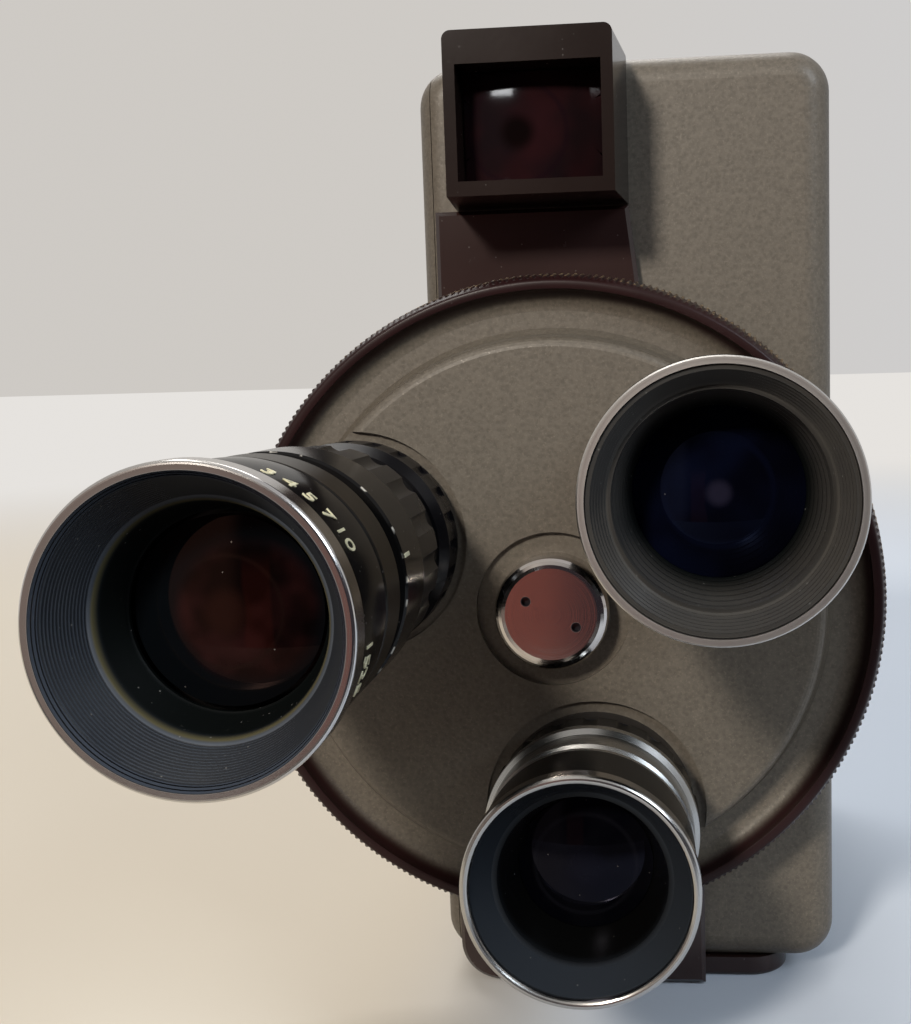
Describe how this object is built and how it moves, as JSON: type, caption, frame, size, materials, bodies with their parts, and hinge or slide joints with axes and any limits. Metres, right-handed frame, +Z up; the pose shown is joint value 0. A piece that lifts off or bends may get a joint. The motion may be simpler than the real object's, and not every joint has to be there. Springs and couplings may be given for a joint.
{
  "type": "turret movie camera",
  "caption": "Spring-wound cine film camera with a turning turret of lenses, a tube finder and a hinged film door.",
  "frame": {"origin": "centre of the mouth of the tripod socket, in the underside of the base", "axes": "+Z up, the lenses look towards -Y, +X to the right as seen from the front"},
  "size_m": [0.0874, 0.1648, 0.1288],
  "materials": {
    "hammertone": "hammertone enamel",
    "brown_enamel": "gloss enamel",
    "polished_chrome": "polished",
    "satin_metal": "satin",
    "black_enamel": "gloss black enamel",
    "baffle_black": "matt black",
    "coated_glass": "coated",
    "plate_steel": "satin",
    "movement_brass": "machined",
    "spool_paint": "satin black"
  },
  "bodies": {
    "camera": {"main_housing": "hammertone", "front_plate": "brown_enamel", "base_plate": "brown_enamel", "tripod_bush": "movement_brass", "finder_housing": "brown_enamel", "finder_glass": "coated_glass", "finder_eyepiece": "black_enamel", "eye_lens": "coated_glass", "turret_spindle": "plate_steel", "spindle_nut": "plate_steel", "mechanism_plate": "movement_brass", "bridge_plate": "movement_brass", "wheel_arbor": "plate_steel", "gate_plate": "plate_steel", "pressure_spring": "plate_steel", "film_guides": "plate_steel", "supply_spindle": "plate_steel", "hinge_pin": "plate_steel", "side_screws": "polished_chrome"},
    "turret": {"turret_disc": "hammertone", "turret_rim": "brown_enamel", "hub_cap": "polished_chrome", "tele_mount": "black_enamel", "tele_rear_glass": "coated_glass", "wide_mount": "black_enamel", "wide_barrel": "black_enamel", "wide_rim": "satin_metal", "wide_baffle": "baffle_black", "wide_glass": "coated_glass", "normal_mount": "black_enamel", "normal_barrel": "satin_metal", "normal_rim": "polished_chrome", "normal_glass": "coated_glass"},
    "tele_iris": {"tele_aperture_ring": "black_enamel"},
    "tele_focus": {"tele_focus_ring": "black_enamel"},
    "tele_front": {"tele_barrel": "black_enamel", "tele_rim": "polished_chrome", "tele_baffle": "baffle_black", "tele_glass": "coated_glass"},
    "wide_iris": {"wide_aperture_ring": "black_enamel"},
    "normal_iris": {"normal_aperture_ring": "black_enamel"},
    "detent": {"detent_plunger": "plate_steel"},
    "door": {"film_door": "hammertone"},
    "latch": {"latch_knob": "satin_metal", "latch_cam": "plate_steel"},
    "winding": {"winding_arbor": "plate_steel", "winding_key": "satin_metal", "ratchet_wheel": "plate_steel"},
    "drum": {"spring_drum": "movement_brass"},
    "transfer": {"transfer_wheel": "movement_brass"},
    "shutter": {"shutter": "plate_steel"},
    "governor": {"governor": "movement_brass"},
    "takeup": {"takeup_spindle": "plate_steel", "takeup_spool": "spool_paint"},
    "supply": {"supply_spool": "spool_paint"},
    "claw": {"pulldown_claw": "plate_steel"},
    "pressure": {"pressure_plate": "plate_steel"},
    "speed": {"speed_knob": "black_enamel"},
    "release": {"release_button": "plate_steel"},
    "footage": {"footage_dial": "satin_metal"}
  },
  "joints": [
    {"name": "turret_turn", "type": "hinge", "parent": "camera", "child": "turret", "pos_m": [-0.0096, -0.04807, 0.056], "axis": [0, -1, 0], "continuous": true},
    {"name": "tele_iris_turn", "type": "hinge", "parent": "turret", "child": "tele_iris", "pos_m": [-0.03522, -0.05977, 0.06512], "axis": [0, -1, 0], "range_deg": [0, 80]},
    {"name": "tele_focus_turn", "type": "hinge", "parent": "turret", "child": "tele_focus", "pos_m": [-0.03522, -0.05977, 0.06512], "axis": [0, -1, 0], "range_deg": [0, 300]},
    {"name": "wide_iris_turn", "type": "hinge", "parent": "turret", "child": "wide_iris", "pos_m": [0.01111, -0.05977, 0.07363], "axis": [0, -1, 0], "range_deg": [0, 80]},
    {"name": "normal_iris_turn", "type": "hinge", "parent": "turret", "child": "normal_iris", "pos_m": [-0.00469, -0.05977, 0.02925], "axis": [0, -1, 0], "range_deg": [0, 80]},
    {"name": "tele_front_slide", "type": "slide", "parent": "turret", "child": "tele_front", "axis": [0, -1, 0], "range_m": [0, 0.0024]},
    {"name": "detent_press", "type": "slide", "parent": "camera", "child": "detent", "axis": [0, 1, 0], "range_m": [0, 0.0012], "stiffness_N_per_m": 400, "springref_m": -0.002},
    {"name": "door_swing", "type": "hinge", "parent": "camera", "child": "door", "pos_m": [-0.02585, 0.0497, 0.06], "axis": [0, 0, -1], "range_deg": [0, 110]},
    {"name": "latch_turn", "type": "hinge", "parent": "door", "child": "latch", "pos_m": [-0.02765, 0.006, 0.058], "axis": [-1, 0, 0], "range_deg": [0, 90]},
    {"name": "winding_turn", "type": "hinge", "parent": "camera", "child": "winding", "pos_m": [0.02, 0.01293, 0.06635], "axis": [1, 0, 0], "continuous": true},
    {"name": "drum_turn", "type": "hinge", "parent": "camera", "child": "drum", "pos_m": [0.005, 0.01293, 0.06635], "axis": [1, 0, 0], "continuous": true},
    {"name": "transfer_turn", "type": "hinge", "parent": "camera", "child": "transfer", "pos_m": [0.002, -0.02003, 0.07336], "axis": [1, 0, 0], "continuous": true},
    {"name": "shutter_turn", "type": "hinge", "parent": "camera", "child": "shutter", "pos_m": [0.0032, -0.033, 0.07336], "axis": [0, 1, 0], "continuous": true},
    {"name": "governor_turn", "type": "hinge", "parent": "camera", "child": "governor", "pos_m": [0.005, 0.03415, 0.08416], "axis": [1, 0, 0], "continuous": true},
    {"name": "takeup_turn", "type": "hinge", "parent": "camera", "child": "takeup", "pos_m": [-0.01, 0.0192, 0.0308], "axis": [1, 0, 0], "continuous": true},
    {"name": "supply_turn", "type": "hinge", "parent": "camera", "child": "supply", "pos_m": [-0.01, 0.0192, 0.0821], "axis": [1, 0, 0], "continuous": true},
    {"name": "claw_stroke", "type": "slide", "parent": "camera", "child": "claw", "axis": [0, 0, 1], "range_m": [-0.0019, 0.0019]},
    {"name": "pressure_lift", "type": "slide", "parent": "camera", "child": "pressure", "axis": [0, 1, 0], "range_m": [0, 0.0015], "stiffness_N_per_m": 250, "springref_m": -0.002, "deforming": ["pressure_spring"]},
    {"name": "speed_turn", "type": "hinge", "parent": "camera", "child": "speed", "pos_m": [0.02765, 0.032, 0.107], "axis": [1, 0, 0], "range_deg": [0, 150]},
    {"name": "release_press", "type": "slide", "parent": "camera", "child": "release", "axis": [-1, 0, 0], "range_m": [0, 0.002], "stiffness_N_per_m": 600, "springref_m": -0.0015},
    {"name": "footage_turn", "type": "hinge", "parent": "camera", "child": "footage", "pos_m": [0.02765, -0.004, 0.106], "axis": [1, 0, 0], "continuous": true}
  ],
  "couplings": [
    {"joint": "tele_focus_turn", "follows": "tele_front_slide", "rad_per_m": 2179.5},
    {"joint": "transfer_turn", "follows": "drum_turn", "ratio": -2.5},
    {"joint": "shutter_turn", "follows": "drum_turn", "ratio": -10},
    {"joint": "governor_turn", "follows": "drum_turn", "ratio": -6.6667},
    {"joint": "takeup_turn", "follows": "drum_turn", "ratio": -2},
    {"joint": "footage_turn", "follows": "drum_turn", "ratio": 0.05}
  ]
}
